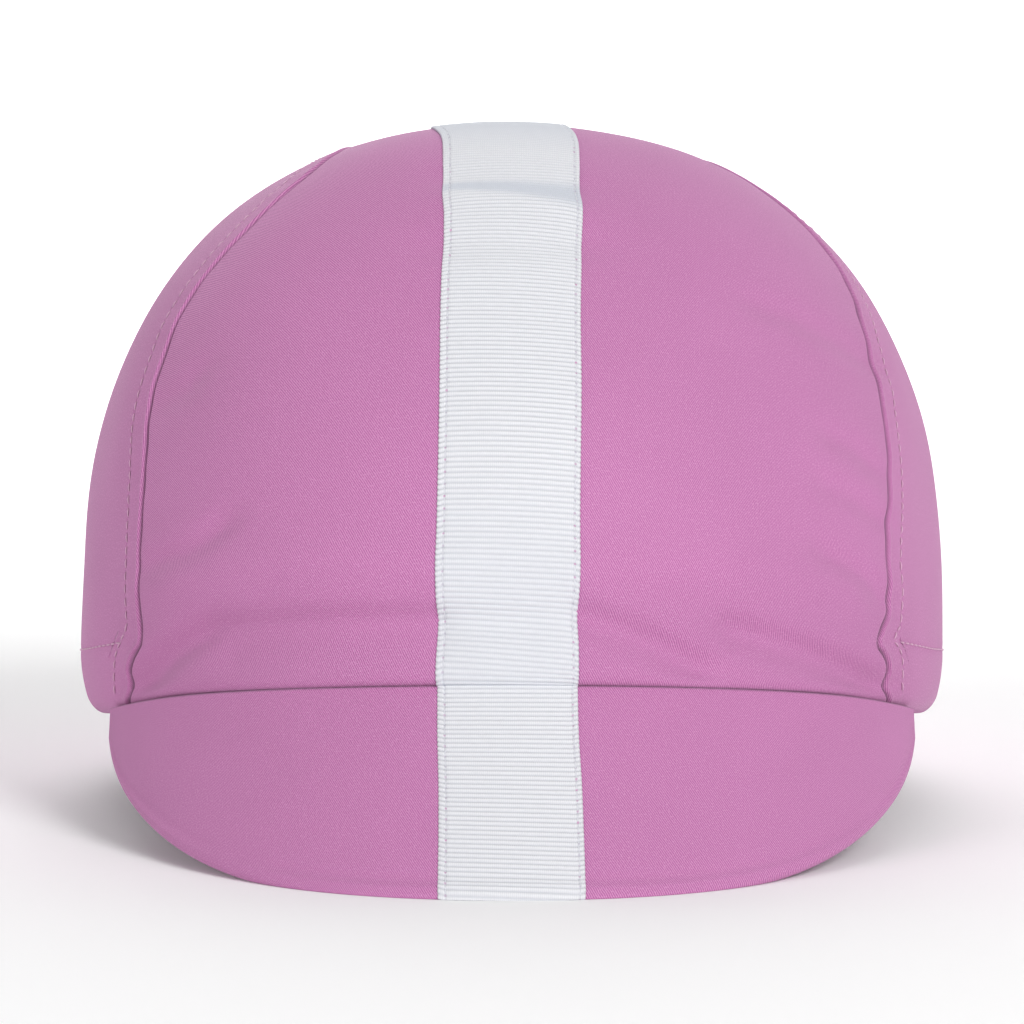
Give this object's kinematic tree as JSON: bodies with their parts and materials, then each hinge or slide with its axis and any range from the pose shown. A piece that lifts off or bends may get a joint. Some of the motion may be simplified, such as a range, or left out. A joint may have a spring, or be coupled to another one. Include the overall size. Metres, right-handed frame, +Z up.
{
  "type": "cycling cap",
  "caption": "Soft cycling cap: a domed crown of sewn panels with a turned-in hem, a short bent peak and a ribbed ribbon down the middle, lying on its peak's edge and the back of its rim.",
  "frame": {"origin": "the middle of the box round the cap, on the surface that it rests on", "axes": "+Z up, the peak towards -Y, and +X to the right as seen from the front"},
  "size_m": [0.1642, 0.2315, 0.1302],
  "materials": {
    "twill": "mauve pink cotton twill, matt",
    "ribbon": "white ribbed ribbon, low sheen"
  },
  "bodies": {
    "root": {"centre_panel": "twill", "side_panel_left": "twill", "side_panel_right": "twill", "hem_band": "twill", "peak": "twill", "crown_ribbon": "ribbon", "peak_ribbon": "ribbon"}
  },
  "joints": []
}
